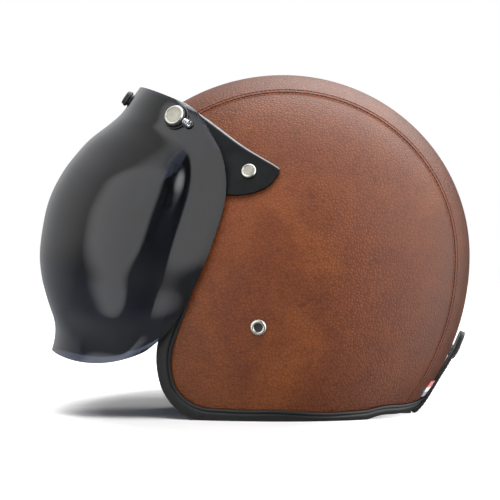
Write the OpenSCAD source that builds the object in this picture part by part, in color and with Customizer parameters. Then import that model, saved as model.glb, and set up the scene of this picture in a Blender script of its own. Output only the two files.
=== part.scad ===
// Open face motorcycle helmet with a flip-up bubble shield.
// Millimetres. The wearer looks along -Y, up is +Z, the wearer's left is +X.
// The helmet stands on its bottom edge at Z = 0.

/* [Shell] */
// Width over the leather, ear to ear
shell_w = 236; // [210:1:260]
// Reach of the crown ahead of the ear line
brow_reach = 143; // [130:1:155]
// Reach of the crown behind the ear line
nape_reach = 140; // [130:1:155]
// Rise of the crown above the widest level
crown_rise = 135; // [120:1:150]
// Height of the widest level above the table
ear_level = 118.5; // [105:0.5:130]
// Distance of the ear line behind the middle of the whole helmet
ear_line_y = 21; // [0:0.5:40]
// Thickness of the hard shell
shell_t = 4; // [3:0.1:6]

/* [Leather] */
// Thickness of the leather skin
leather_t = 1.3; // [0.8:0.1:2]
// Half width of the centre strip at the brow
strip_half_brow = 57; // [40:1:70]
// Half width of the centre strip at the nape
strip_half_nape = 50; // [40:1:70]
// Width of the raised welt over each seam
welt_w = 3.2; // [2:0.1:5]

/* [Edge trim] */
// Width of the trim's outer lip at the brow
lip_w = 13.5; // [10:0.1:15]
// Width of the trim's outer lip at the nape
lip_back = 8.2; // [6:0.1:12]
// How far the lip stands off the leather
lip_t = 2.2; // [1:0.1:4]

/* [Liner] */
// Thickness of the impact foam
foam_t = 25; // [15:1:35]
// Thickness of the crown and neck padding
comfort_t = 8; // [4:0.5:12]
// Thickness of the cheek pads
cheek_t = 17; // [10:1:30]

/* [Visor] */
// Thickness of the shield
shield_t = 2.5; // [1.5:0.1:4]
// Thickness of the visor base
base_t = 3.2; // [2:0.1:5]
// Radius of the two hinge pins
pin_r = 1.8; // [1.2:0.1:3]
// Radial clearance of the flip frame on its pins
pin_play = 0.05; // [0.02:0.01:0.1]
// Radius of the large shield snap caps
shield_cap_r = 7.4; // [6:0.1:10]
// Radius of the small base snap caps
base_cap_r = 5.5; // [4:0.1:8]

/* [Straps] */
// Width of the chin strap webbing
strap_w = 24; // [18:1:28]
// Thickness of the chin strap webbing
strap_t = 2; // [1.2:0.1:3]
// Width of the rear goggle strap
goggle_w = 22; // [14:1:28]
// Thickness of the rear goggle strap
goggle_t = 2.4; // [1.2:0.1:3]

/* [Hidden] */
$fn = 48;
air = 1.6;
base_gap = 1.2;
half_w = shell_w / 2;
// how fast each side of the shell draws in below the widest level
nape_drop = 159;
brow_drop = 200;
side_drop = 215;
shell_in = leather_t + air;
foam_in = shell_in + shell_t + 0.3;
pad_in = foam_in + foam_t + 1.4;
around = 30;
hinge_y = ear_line_y - 69;
hinge_z = 214.6;
hinge_x = 75.3;
pole = [0, sqrt(0.5), sqrt(0.5)];
ear = [1, 0, 0];
rivet_y = -18.8;
rivet_z = -50.8;

// ---------- small tools ----------

function unit(v) = v / norm(v);
function flip(v) = [-v[0], v[1], v[2]];
function mix(a, b, t) = a + (b - a) * t;
function slerp(a, b, t) =
    let (w = acos(min(1, a * b)))
    (sin((1 - t) * w) * a + sin(t * w) * b) / sin(w);

// Smooth curve through p[1]..p[last-1]; the two end points only steer it
function spline(p, steps) =
    [for (k = [1 : len(p) - 3], i = [0 : steps - 1])
        let (f = i / steps, a = p[k - 1], b = p[k], c = p[k + 1], d = p[k + 2])
        b + 0.5 * f * ((c - a) + f * ((2 * a - 5 * b + 4 * c - d) + f * (3 * (b - c) + d - a))),
     p[len(p) - 2]];

// Running length along a list of points
function runs(p, i = 0, s = 0) =
    i == len(p) - 1 ? [s] : concat([s], runs(p, i + 1, s + norm(p[i + 1] - p[i])));

// The same line with n equal steps
function even(p, n) =
    let (s = runs(p), last = len(p) - 1)
    [for (i = [0 : n])
        [for (k = [0 : len(p[0]) - 1])
            lookup(s[last] * i / n, [for (j = [0 : last]) [s[j], p[j][k]]])]];

// Solid between two point grids of one size
module slab(a, b) {
    rows = len(a);
    cols = len(a[0]);
    n = rows * cols;
    at = function (k, r, c) k * n + r * cols + c;
    polyhedron(
        points = [for (g = [a, b], row = g) each row],
        faces = [
            for (r = [0 : rows - 2], c = [0 : cols - 2]) each [
                [at(0, r, c), at(0, r, c + 1), at(0, r + 1, c + 1)],
                [at(0, r, c), at(0, r + 1, c + 1), at(0, r + 1, c)],
                [at(1, r, c), at(1, r + 1, c + 1), at(1, r, c + 1)],
                [at(1, r, c), at(1, r + 1, c), at(1, r + 1, c + 1)]],
            for (r = [0 : rows - 2]) each [
                [at(0, r, 0), at(0, r + 1, 0), at(1, r + 1, 0)],
                [at(0, r, 0), at(1, r + 1, 0), at(1, r, 0)],
                [at(0, r, cols - 1), at(1, r + 1, cols - 1), at(0, r + 1, cols - 1)],
                [at(0, r, cols - 1), at(1, r, cols - 1), at(1, r + 1, cols - 1)]],
            for (c = [0 : cols - 2]) each [
                [at(0, 0, c), at(1, 0, c + 1), at(0, 0, c + 1)],
                [at(0, 0, c), at(1, 0, c), at(1, 0, c + 1)],
                [at(0, rows - 1, c), at(0, rows - 1, c + 1), at(1, rows - 1, c + 1)],
                [at(0, rows - 1, c), at(1, rows - 1, c + 1), at(1, rows - 1, c)]]]);
}

// Solid through a row of sections; closed runs round to the start
module loft(sections, closed = false) {
    n = len(sections);
    m = len(sections[0]);
    at = function (i, k) (i % n) * m + k % m;
    polyhedron(
        points = [for (s = sections) each s],
        faces = [
            for (i = [0 : n - (closed ? 1 : 2)], k = [0 : m - 1]) each [
                [at(i, k), at(i + 1, k + 1), at(i + 1, k)],
                [at(i, k), at(i, k + 1), at(i + 1, k + 1)]],
            if (!closed) for (k = [1 : m - 2]) each [
                [at(0, 0), at(0, k + 1), at(0, k)],
                [at(n - 1, 0), at(n - 1, k), at(n - 1, k + 1)]]]);
}

// Flat strip of webbing along a line, w wide along the direction side
module ribbon(line, side, w, t) {
    last = len(line) - 1;
    loft([for (i = [0 : last])
        let (run = unit(line[min(i + 1, last)] - line[max(i - 1, 0)]),
             up = unit(cross(run, side)) * t / 2,
             out = side * w / 2)
        [line[i] - out - up, line[i] - out + up, line[i] + out + up, line[i] + out - up]]);
}

// Places children at point p with their Z along direction d and their Y near u
module stand(p, d, u = [0, 0, 1]) {
    z = unit(d);
    x = unit(cross(u, z));
    y = cross(z, x);
    multmatrix([[x[0], y[0], z[0], p[0]],
                [x[1], y[1], z[1], p[1]],
                [x[2], y[2], z[2], p[2]],
                [0, 0, 0, 1]])
        children();
}

module both_sides() {
    children();
    mirror([1, 0, 0]) children();
}

// ---------- the head form ----------

// Point in the direction s, this far in from the leather's outside
function skin(s, inset) =
    let (h = max(norm([s[0], s[1]]), 0.0001),
         front = s[1] < 0,
         above = s[2] >= 0,
         give = 0.5 * inset,
         z = s[2] * (above ? crown_rise - inset : nape_drop - give),
         wide = above ? h : sqrt(1 - pow(z / (side_drop - give), 2)),
         long = above || !front ? h : sqrt(1 - pow(z / (brow_drop - give), 2)),
         reach = front ? brow_reach : nape_reach)
    [(half_w - inset) * wide * s[0] / h,
     ear_line_y + (reach - inset) * long * s[1] / h,
     ear_level + z];

// Direction of the outside point seen at [y, z] from the left, from the ear
function aim(p) =
    let (front = p[0] < 0,
         above = p[1] >= 0,
         sz = p[1] / (above ? crown_rise : nape_drop),
         h = sqrt(1 - sz * sz),
         long = above || !front ? h : sqrt(1 - pow(p[1] / brow_drop, 2)),
         sy = p[0] * h / ((front ? brow_reach : nape_reach) * long))
    [sqrt(max(h * h - sy * sy, 0)), sy, sz];

// Direction on the middle plane, by angle up from straight ahead
function middle(up) = [0, -cos(up), sin(up)];

// Direction whose outside point is nearest to p
function find(p) =
    let (front = p[1] < ear_line_y,
         above = p[2] >= ear_level,
         z = p[2] - ear_level,
         sz = z / (above ? crown_rise : nape_drop),
         h = sqrt(1 - sz * sz),
         wide = above ? h : sqrt(1 - pow(z / side_drop, 2)),
         long = above || !front ? h : sqrt(1 - pow(z / brow_drop, 2)),
         reach = front ? brow_reach : nape_reach,
         q = unit([p[0] / (half_w * wide), (p[1] - ear_line_y) / (reach * long)]))
    [h * q[0], h * q[1], sz];

function normal_at(s) =
    unit(skin(s, -1) - skin(s, 1));

// Left half of an outline that crosses the middle plane at both ends
function half_line(first, pts, last, n) =
    let (p = concat([first], [for (q = pts) aim(q)], [last]),
         wide = concat([flip(p[1])], p, [flip(p[len(p) - 2])]))
    [for (s = even(spline(wide, 6), n)) unit(s)];

// The whole outline, both halves
function closed_line(half) =
    concat(half, [for (i = [len(half) - 2 : -1 : 1]) flip(half[i])]);

// Outline that lies on one side only
function side_line(pts, n) =
    let (p = [for (q = pts) aim(q)],
         m = len(p),
         wide = [for (i = [-1 : m + 1]) p[(i + m) % m]])
    [for (i = [0 : n - 1]) unit(even(spline(wide, 6), n)[i])];

// Shell-like solid inside an outline, spread from a middle direction
module cap(edge, centre, outer, inner, rings) {
    n = len(edge);
    side = 1 + n * rings;
    at = function (k, r, j) r == 0 ? k * side : k * side + 1 + (r - 1) * n + j % n;
    polyhedron(
        points = [for (inset = [outer, inner])
            each concat([skin(centre, inset)],
                [for (r = [1 : rings], e = edge) skin(slerp(centre, e, r / rings), inset)])],
        faces = [
            for (j = [0 : n - 1]) each [
                [at(0, 0, 0), at(0, 1, j + 1), at(0, 1, j)],
                [at(1, 0, 0), at(1, 1, j), at(1, 1, j + 1)],
                [at(0, rings, j), at(1, rings, j + 1), at(1, rings, j)],
                [at(0, rings, j), at(0, rings, j + 1), at(1, rings, j + 1)]],
            for (r = [1 : rings - 1], j = [0 : n - 1]) each [
                [at(0, r, j), at(0, r + 1, j + 1), at(0, r + 1, j)],
                [at(0, r, j), at(0, r, j + 1), at(0, r + 1, j + 1)],
                [at(1, r, j), at(1, r + 1, j), at(1, r + 1, j + 1)],
                [at(1, r, j), at(1, r + 1, j + 1), at(1, r, j + 1)]]]);
}

// ---------- outlines ----------

// Outer border of the edge trim, brow to nape, [y, z] from the ear
border_half = half_line(middle(41.4),
    [[-99, 84.5], [-85, 71.5], [-70.5, 51], [-66, 28.5], [-69.5, 3.5], [-78, -24.5],
     [-87, -49.5], [-91.4, -66], [-91.5, -82], [-87, -98.5], [-75.5, -112.5], [-59.5, -120.2],
     [-38, -121.8], [0, -121.8], [34, -121.5], [56, -119.2], [76, -115.8]],
    middle(180 + 45.3), around);
border = closed_line(border_half);

// Point i of the border moved in by a distance along the leather
function inside(i, mm) =
    let (n = len(border),
         along = skin(border[(i + 1) % n], 0) - skin(border[(i + n - 1) % n], 0),
         in = unit(cross(normal_at(border[i]), along)))
    find(skin(border[i], 0) + in * mm);
function drawn_in(mm) = [for (i = [0 : len(border) - 1]) inside(i, mm)];

// Lateral and lengthwise angle of a direction
function lateral(e) = asin(e[0]);
function lengthwise(e) = (atan2(e[2], -e[1]) + 360) % 360;
function at_angles(side, along) =
    [sin(side), -cos(side) * cos(along), cos(side) * sin(along)];

// Lengthwise angle where the leather ends at the brow and at the nape
leather_half = [for (i = [0 : around]) inside(i, 6)];
brow_end = [for (i = [0 : 6]) [lateral(leather_half[i]), lengthwise(leather_half[i])]];
nape_end = [for (i = [around : -1 : around - 6])
    [lateral(leather_half[i]), lengthwise(leather_half[i])]];
function seam_side(t) =
    let (x = mix(strip_half_brow, strip_half_nape, t),
         first = asin(x / half_w),
         real = skin(at_angles(first, along_at(first, t)), 0)[0])
    asin(sin(first) * x / real);
function along_at(side, t) = mix(lookup(side, brow_end), lookup(side, nape_end), t);
function seam_point(t, off) =
    let (side = seam_side(t) + off / half_w * 57.3)
    at_angles(side, along_at(side, t));

// ---------- shell, leather, trim ----------

module rivet_hole() {
    s = aim([rivet_y, rivet_z]);
    stand(skin(s, 12), normal_at(s))
        cylinder(r = 2.6, h = 24);
}

shell_edge = drawn_in(3.8);

module outer_shell() color([0.16, 0.16, 0.17]) {
    difference() {
        cap(shell_edge, pole, shell_in, shell_in + shell_t, 11);
        both_sides() rivet_hole();
    }
}

module leather_side() {
    seam = [for (i = [17 : -1 : 0]) seam_point(i / 17, 0.6)];
    clear = 1.5;
    low = [for (i = [0 : around])
        let (s = leather_half[i], end = i < around / 2 ? seam[17] : seam[0])
        if (lateral(s) > lateral(end) + clear) skin(s, 0)];
    edge = [for (p = even(low, 38)) find(p)];
    difference() {
        cap(concat(seam, edge), ear, 0, leather_t, 8);
        rivet_hole();
    }
}

module leather_side_left() color([0.42, 0.22, 0.14]) leather_side();
module leather_side_right() color([0.42, 0.22, 0.14]) mirror([1, 0, 0]) leather_side();

module leather_center_strip() color([0.46, 0.25, 0.16]) {
    grid = [for (i = [0 : 22])
        [for (k = [-4 : 4])
            let (t = i / 22,
                 side = k / 4 * (seam_side(t) - 0.3))
            at_angles(side, along_at(abs(side), t))]];
    slab([for (row = grid) [for (s = row) skin(s, leather_t)]],
         [for (row = grid) [for (s = row) skin(s, 0)]]);
}

module seam_welt() {
    clear = 5 / 240;
    loft([for (i = [0 : 22])
        let (t = mix(clear, 1 - clear, i / 22))
        [skin(seam_point(t, welt_w / 2), -0.35),
         skin(seam_point(t, welt_w / 2), -1.05),
         skin(seam_point(t, -welt_w / 2), -1.05),
         skin(seam_point(t, -welt_w / 2), -0.35)]]);
}

module seam_welt_left() color([0.36, 0.18, 0.11]) seam_welt();
module seam_welt_right() color([0.36, 0.18, 0.11]) mirror([1, 0, 0]) seam_welt();

// Width of the outer lip, which narrows from the brow to the nape
function lip_at(i) = mix(lip_w, lip_back, min(max((border[i][1] + 0.05) / 0.55, 0), 1));

// Rubber channel over the edge: [distance in from the border, inset]
function trim_section(lip) = [
    [3, -0.7], [3, 9], [11, 9.7], [11, 10.9], [2, 10.9], [0.5, 9.7], [0, 2.5],
    [0.2, -0.9], [1.6, -lip_t], [lip - 1.8, -lip_t], [lip, -lip_t * 0.7], [lip, -0.7]];

module edge_trim() color([0.13, 0.13, 0.14]) {
    difference() {
        loft([for (i = [0 : len(border) - 1])
            [for (q = trim_section(lip_at(i))) skin(inside(i, q[0]), q[1])]],
             closed = true);
        translate([0, 0, -10]) cube([400, 400, 20], center = true);
    }
}

// ---------- liner ----------

module impact_liner() color([0.86, 0.86, 0.84]) {
    difference() {
        cap([for (e = shell_edge) slerp(pole, e, 10 / 11)], pole, foam_in, foam_in + foam_t, 10);
        both_sides() strap_channel();
    }
}

// Room for the chin strap between the hard shell and the foam
module strap_channel() {
    y = ear_line_y + rivet_y;
    hull() {
        translate([half_w - 30.6, y - strap_w / 2 - 1, 0]) cube([30, strap_w + 2, 12]);
        translate([half_w - 17, y - strap_w / 2 - 1, 85]) cube([30, strap_w + 2, 1]);
    }
}

module crown_pad() color([0.16, 0.16, 0.17]) {
    edge = closed_line(half_line(middle(49),
        [[-84, 92], [-66, 72], [-52, 44], [-42, 18], [-15, 12], [25, 8], [75, 2]],
        middle(180 + 2), 18));
    cap(edge, middle(112), pad_in, pad_in + comfort_t, 6);
}

cheek_line = side_line([[-40, 2], [-52, -10], [-58, -30], [-68, -60], [-70, -78],
    [-58, -94], [-30, -102], [0, -103], [18, -92], [18, -50], [8, -6], [-15, 4]], 28);

module cheek_pad() {
    cap(cheek_line, aim([-25, -48]), pad_in, pad_in + cheek_t, 3);
}

module cheek_pad_left() color([0.18, 0.18, 0.19]) cheek_pad();
module cheek_pad_right() color([0.18, 0.18, 0.19]) mirror([1, 0, 0]) cheek_pad();

module neck_roll() color([0.18, 0.18, 0.19]) {
    edge = closed_line(half_line(middle(180 + 9),
        [[110, -12], [72, -16], [40, -28], [30, -62], [36, -94], [60, -98], [84, -97]],
        middle(180 + 40), 14));
    cap(edge, middle(180 + 24), pad_in, pad_in + comfort_t + 2, 4);
}

// ---------- chin strap ----------

module strap_rivets() color([0.75, 0.75, 0.76]) both_sides() {
    s = aim([rivet_y, rivet_z]);
    stand(skin(s, 0), normal_at(s)) {
        rotate_extrude()
            polygon([[0, 0.3], [5.8, 0.3], [5.8, 1.2], [4.6, 2.3], [3.4, 2.3], [2.6, 1.1], [0, 1.1]]);
        translate([0, 0, -11]) cylinder(r = 2.4, h = 11.5);
    }
}

// Where the strap runs beside the head, [x, z] at the rivet's Y
function hang(z) =
    let (p = skin(aim([rivet_y, z - ear_level]), shell_in + shell_t + 5.1))
    [p[0], p[2]];

strap_y = ear_line_y + rivet_y;
function in_strap(p) = [p[0], strap_y, p[1]];
flank_low = [52, 14];
flank_high = [20, 50];
flank = unit(flank_high - flank_low);
// the top of the arch, shared by the strap and its sleeve
arch = [[36, 32], [28, 41], [20, 49.4], [8, 57.4], [1, 58.9]];

module strap_drop(end) {
    beside = even([hang(82), hang(70), hang(56), hang(40), hang(24), [88.2, 14]], 8);
    under = [[85.8, 9], [83.5, 6.6], [76, 6.6], [62, 8.6]];
    ribbon([for (p = concat(beside, under, end)) in_strap(p)], [0, 1, 0], strap_w, strap_t);
}

module holed_strap(end) {
    difference() {
        strap_drop(end);
        rivet_hole();
    }
}

module chin_strap_left() color([0.1, 0.1, 0.11]) {
    holed_strap([flank_low, flank_low + flank * 5]);
}

module chin_strap_right() color([0.1, 0.1, 0.11]) mirror([1, 0, 0]) {
    holed_strap(concat([flank_low], arch, [[-9, 58], [-15.5, 54.9], [-20.5, 49.4]]));
}

// Padded sleeve round the top of the strap, under the chin when worn
module chin_pad() color([0.17, 0.17, 0.18]) mirror([1, 0, 0]) difference() {
    ribbon([for (p = arch) in_strap(p)], [0, 1, 0], strap_w + 8, 9);
    ribbon([for (p = concat([flank_low], arch, [[-9, 58]])) in_strap(p)],
        [0, 1, 0], strap_w + 0.6, strap_t + 0.6);
}

// Buckle parts are drawn along +X, their underside at Z = 0, then laid on the flank
module on_flank() {
    p = flank_low + flank * 3;
    multmatrix([[flank[0], 0, -flank[1], p[0]],
                [0, 1, 0, strap_y],
                [flank[1], 0, flank[0], p[1]],
                [0, 0, 0, 1]])
        children();
}

module buckle_housing() color([0.12, 0.12, 0.13]) on_flank() difference() {
    union() {
        translate([0, -13, 1.4]) cube([34, 26, 1.6]);
        for (y = [-13, 10.6]) translate([0, y, 1.4]) cube([34, 2.4, 8.4]);
    }
    lever_bore(1.3);
}

module lever_bore(r) {
    translate([26, 14, 7]) rotate([90, 0, 0]) cylinder(r = r, h = 28);
}

// Lever with its pin, which turns in the housing's cheeks
module buckle_lever() color([0.55, 0.1, 0.1]) on_flank() {
    translate([26, 10.3, 7]) rotate([90, 0, 0]) cylinder(r = 2.6, h = 20.6);
    translate([26, 13, 7]) rotate([90, 0, 0]) cylinder(r = 1.25, h = 26);
    translate([-3, -10.3, 6.6]) cube([29, 20.6, 2.4]);
}

// Toothed tongue on the long strap's end, held in the housing
module buckle_tongue() color([0.2, 0.2, 0.21]) on_flank() {
    translate([8, -8, 3.2]) cube([40, 16, 0.7]);
    translate([38, -8, 1.3]) cube([10, 16, 2]);
    for (i = [0 : 5]) translate([9 + i * 2, -6, 3.8]) rotate([90, 0, 0]) mirror([0, 0, 1])
        linear_extrude(12) polygon([[0, 0], [2, 0], [0, 0.7]]);
}

// ---------- visor base ----------

side_snap = aim([-24.8, 57.6]);
snap_dirs = [side_snap, flip(side_snap), middle(51.5)];
base_top = spline(concat([flip(aim([-61.9, 102.2])), middle(55.4)],
    [for (p = [[-61.9, 102.2], [-32, 78.8], [-5.5, 60.2]]) aim(p)], [aim([0, 55])]), 8);
brow_line = [for (i = [0 : 6]) inside(i, lip_w + 2)];
base_low = spline(concat([flip(brow_line[1])], brow_line,
    [for (p = [[-51, 47], [-38.4, 41.9], [-23, 43], [-11, 47.5], [-4.6, 55]]) aim(p)],
    [aim([-3, 60])]), 4);

module visor_base() color([0.13, 0.13, 0.14]) difference() {
    union() {
        base_band();
        both_sides() translate([hinge_x - 3.8, hinge_y, hinge_z])
            rotate([0, 90, 0]) cylinder(r = 4.5, h = 3.5);
    }
    for (s = snap_dirs) stand(skin(s, 1), normal_at(s)) cylinder(r = 3.8, h = 12);
    both_sides() translate([hinge_x - 6, hinge_y, hinge_z])
        rotate([0, 90, 0]) cylinder(r = pin_r, h = 8);
}

// A bent band over the brow, pointed at both ends
module base_band() {
    n = 14;
    top = even(base_top, n);
    low = even(base_low, n);
    rows = [for (i = [-n : n])
        let (a = i < 0 ? flip(top[-i]) : top[i], b = i < 0 ? flip(low[-i]) : low[i])
        [for (k = [0 : 4]) unit(mix(a, b, k / 4))]];
    slab([for (row = rows) [for (s = row) skin(s, -base_gap)]],
         [for (row = rows) [for (s = row) skin(s, -base_gap - base_t)]]);
}

module base_snap_studs() color([0.2, 0.2, 0.21]) {
    for (s = snap_dirs) stand(skin(s, -0.25), normal_at(s)) cylinder(r = 3.4, h = base_gap + base_t);
}

module base_snap_caps() color([0.8, 0.8, 0.8]) {
    for (s = snap_dirs) stand(skin(s, -base_gap - base_t - 0.3), normal_at(s)) rotate_extrude()
        polygon([[0, 0], [base_cap_r, 0], [base_cap_r, 0.8], [base_cap_r - 1, 1.8],
                 [base_cap_r - 2.2, 1.9], [base_cap_r - 2.8, 1.5], [0, 1.5]]);
}

module hinge_pins() color([0.7, 0.7, 0.72]) both_sides()
    translate([hinge_x - 3.8, hinge_y, hinge_z]) rotate([0, 90, 0]) {
        cylinder(r = pin_r, h = 7.2);
        translate([0, 0, 7.1]) cylinder(r = 3, h = 0.9);
    }

// ---------- shield ----------

// Front line of the shield on the middle plane, top to bottom, [y, z] from the ear line
front_line = even(spline([[-101, 253], [-107.3, 243.8], [-114, 234.5], [-120.5, 225], [-129, 217.2],
    [-144.8, 205], [-156, 192.8], [-165, 180.8], [-173.4, 165], [-178.6, 148], [-182.3, 122],
    [-181, 103], [-176.8, 86], [-171.6, 70], [-171, 59], [-173.4, 48], [-177, 38]], 4), 40);
// Side border, top corner to bottom corner, [x, y, z]
side_border = even(spline([[78, -79, 232], [88, -70.2, 227], [97, -60.8, 219.1], [104, -53, 206],
    [109.5, -45.2, 191], [112.5, -41.8, 174], [114, -42.5, 157], [115, -48, 136.5],
    [114.5, -57, 112], [108.5, -67, 90], [104.5, -75.5, 74], [98.5, -86, 61.3], [92, -100.7, 49],
    [84, -116, 43]], 4), 40);
sweep = 84;

// How far the bubble swells past its flat side flange, [u, share of the half width]
cheek_bulge = spline([[-0.2, -0.02], [0, 0], [0.3, 0.035], [0.5, 0.09], [0.66, 0.12], [0.74, 0.112],
    [0.8, 0.075], [0.85, 0.015], [0.88, 0], [1, 0], [1.1, 0]], 4);
function bulging(v) =
    let (a = min(max((v - 0.16) / 0.24, 0), 1), b = min(max((1 - v) / 0.16, 0), 1))
    a * a * (3 - 2 * a) * b * b * (3 - 2 * b);

// Point of the shield's outside: u across from -1 to 1, v down from 0 to 1
function shield_out(u, v) =
    let (f = line_at(front_line, v),
         r = line_at(side_border, v),
         g = (1 - cos(u * sweep)) / (1 - cos(sweep)),
         dip = -8 * g * (1 - g) * pow(v, 8) * 4)
    [r[0] * (sin(u * sweep) / sin(sweep) + sign(u) * lookup(abs(u), cheek_bulge) * bulging(v)),
     ear_line_y + mix(f[0], r[1], g),
     mix(f[1], r[2], g) + dip];

function line_at(p, v) =
    let (last = len(p) - 1, t = min(max(v, 0), 1) * last, i = min(floor(t), last - 1))
    mix(p[i], p[i + 1], t - i);

function shield_normal(u, v) =
    let (d = 0.03, a = min(v + d, 1), b = max(v - d, 0))
    unit(cross(shield_out(u, a) - shield_out(u, b), shield_out(u + d, v) - shield_out(u - d, v)));

function shield_at(u, v, depth) = shield_out(u, v) - shield_normal(u, v) * depth;

module shield_patch(u0, u1, v0, v1, outer, inner, across, down) {
    us = [for (i = [0 : across]) mix(u0, u1, i / across)];
    vs = [for (i = [0 : down]) mix(v0, v1, i / down)];
    slab([for (v = vs) [for (u = us) shield_at(u, v, outer)]],
         [for (v = vs) [for (u = us) shield_at(u, v, inner)]]);
}

// Slope of the side slots in the shield's surface
slant = -27;

// The three snaps of the shield, [u, v, cap radius]; the middle one is smaller
shield_snaps = [[0, 0.052, shield_cap_r - 2], [0.802, 0.106, shield_cap_r],
    [-0.802, 0.106, shield_cap_r]];

module at_snap(i, depth) {
    q = shield_snaps[i];
    stand(shield_at(q[0], q[1], depth), shield_normal(q[0], q[1])) children();
}

module shield() color([0.25, 0.26, 0.29, 0.6]) difference() {
    shield_patch(-1, 1, 0, 1, 0, shield_t, 40, 22);
    for (i = [0 : 2]) at_snap(i, 8) cylinder(r = 5, h = 14);
}

// Carrier behind the shield's collar with an arm down to each hinge pin
module flip_frame() color([0.12, 0.12, 0.13]) difference() {
    union() {
        shield_patch(-0.78, 0.78, 0.012, 0.1, shield_t + 0.9, shield_t + 3.9, 20, 3);
        both_sides() arm();
    }
    both_sides() translate([hinge_x - 2, hinge_y, hinge_z])
        rotate([0, 90, 0]) cylinder(r = pin_r + pin_play, h = 8);
}

module arm() {
    translate([hinge_x, 0, 0]) hull() {
        translate([0, hinge_y, hinge_z]) rotate([0, 90, 0]) cylinder(r = 5.2, h = 3);
        translate([0, hinge_y - 15.5, hinge_z + 4.5]) rotate([0, 90, 0]) cylinder(r = 3.4, h = 3);
    }
}

module shield_snap_bodies() color([0.1, 0.1, 0.11]) for (i = [0 : 2]) {
    at_snap(i, shield_t + 0.7) cylinder(r = 4.7, h = shield_t + 2.6);
    at_snap(i, -1.5) cylinder(r = shield_snaps[i][2] + 0.6, h = 2.2);
}

module shield_snap_caps() color([0.8, 0.8, 0.8]) for (i = [0 : 2]) {
    r = shield_snaps[i][2];
    at_snap(i, -3.8) rotate_extrude()
        polygon([[0, 0], [r, 0], [r, 0.6], [r - 1.2, 1.7], [r - 3, 1.8], [r - 3.6, 1.3], [0, 1.3]]);
}

// Slanted oblong plate under each side snap, longer towards the rear
module slot_ferrules() color([0.1, 0.1, 0.11]) for (i = [1, 2]) {
    way = i == 1 ? 1 : -1;
    at_snap(i, -0.5) rotate([0, 0, way * slant]) difference() {
        hull() for (x = [-8, 12]) translate([way * x, 0, 0]) cylinder(r = 3.6, h = 0.9);
        cylinder(r = 5.2, h = 9, center = true);
    }
}

module slot_springs() color([0.85, 0.85, 0.86]) for (i = [1, 2]) {
    way = i == 1 ? 1 : -1;
    at_snap(i, -1.5) rotate([0, 0, way * slant]) for (k = [0 : 2])
        translate([way * (9.4 + k * 1.6), 0, 2.5]) rotate([0, 90, 0])
            rotate_extrude() translate([1.9 - k * 0.2, 0]) circle(r = 0.5, $fn = 16);
}

// ---------- rear strap and tag ----------

goggle_line = [[96.8, 1.6], [99.5, 2.2], [105.4, 8.9], [111.3, 18.2], [117.2, 28.1], [122.3, 36.2],
    [126.1, 43], [129.8, 50.2], [134.4, 61.4]];

module goggle(points) {
    ribbon([for (p = points) [0, ear_line_y + p[0], p[1]]], [1, 0, 0], goggle_w, goggle_t);
}

// Its lower end is rolled round a wire that it turns on
module rear_strap() color([0.12, 0.12, 0.13]) union() {
    goggle(goggle_line);
    translate([-goggle_w / 2, ear_line_y + 97.5, 2.2]) rotate([0, 90, 0])
        cylinder(r = 1.5, h = goggle_w);
}

// Fixed end of the strap, tucked under the trim and up inside
module rear_strap_anchor() color([0.1, 0.1, 0.11])
    goggle([[95.6, 1.3], [88, 1.2], [79.5, 2.5], [75.5, 8], [73.5, 16]]);

snap_run = unit([0, 129.8 - 122.3, 50.2 - 36.2]);
snap_out = [0, snap_run[2], -snap_run[1]];
snap_at = [0, ear_line_y + 127.8, 46.4];

module rear_snap_stud() color([0.75, 0.75, 0.76])
    stand(snap_at - snap_out * 2.4, snap_out) cylinder(r = 4.5, h = 0.8);

module rear_snap_cap() color([0.8, 0.8, 0.8])
    stand(snap_at + snap_out * (goggle_t / 2 + 0.3), snap_out) rotate_extrude()
        polygon([[0, 0], [5.5, 0], [5.5, 0.7], [4.4, 1.6], [0, 1.6]]);

module rear_tag() color([0.75, 0.2, 0.18]) {
    spots = [for (x = [14 : 4 : 30]) [for (z = [-104.5, -99.75, -95]) tag_dir(x, z)]];
    slab([for (row = spots) [for (s = row) skin(s, -0.5)]],
         [for (row = spots) [for (s = row) skin(s, -1.3)]]);
}

function tag_dir(x, z) =
    let (sz = z / nape_drop, h = sqrt(1 - sz * sz),
         sx = x * h / (half_w * sqrt(1 - pow(z / side_drop, 2))))
    [sx, sqrt(h * h - sx * sx), sz];

outer_shell();
leather_side_left();
leather_side_right();
leather_center_strip();
seam_welt_left();
seam_welt_right();
edge_trim();
impact_liner();
crown_pad();
cheek_pad_left();
cheek_pad_right();
neck_roll();
strap_rivets();
chin_strap_left();
chin_strap_right();
chin_pad();
buckle_tongue();
buckle_housing();
buckle_lever();
visor_base();
base_snap_studs();
base_snap_caps();
hinge_pins();
flip_frame();
shield();
slot_ferrules();
slot_springs();
shield_snap_bodies();
shield_snap_caps();
rear_strap_anchor();
rear_snap_stud();
rear_strap();
rear_snap_cap();
rear_tag();
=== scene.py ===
"""Looks of the open face motorcycle helmet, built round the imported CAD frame.

Shapes are worked out in millimetres and turned to metres when a mesh is made.
The wearer looks along -Y, up is +Z, the wearer's left is +X.
"""

import math

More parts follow.
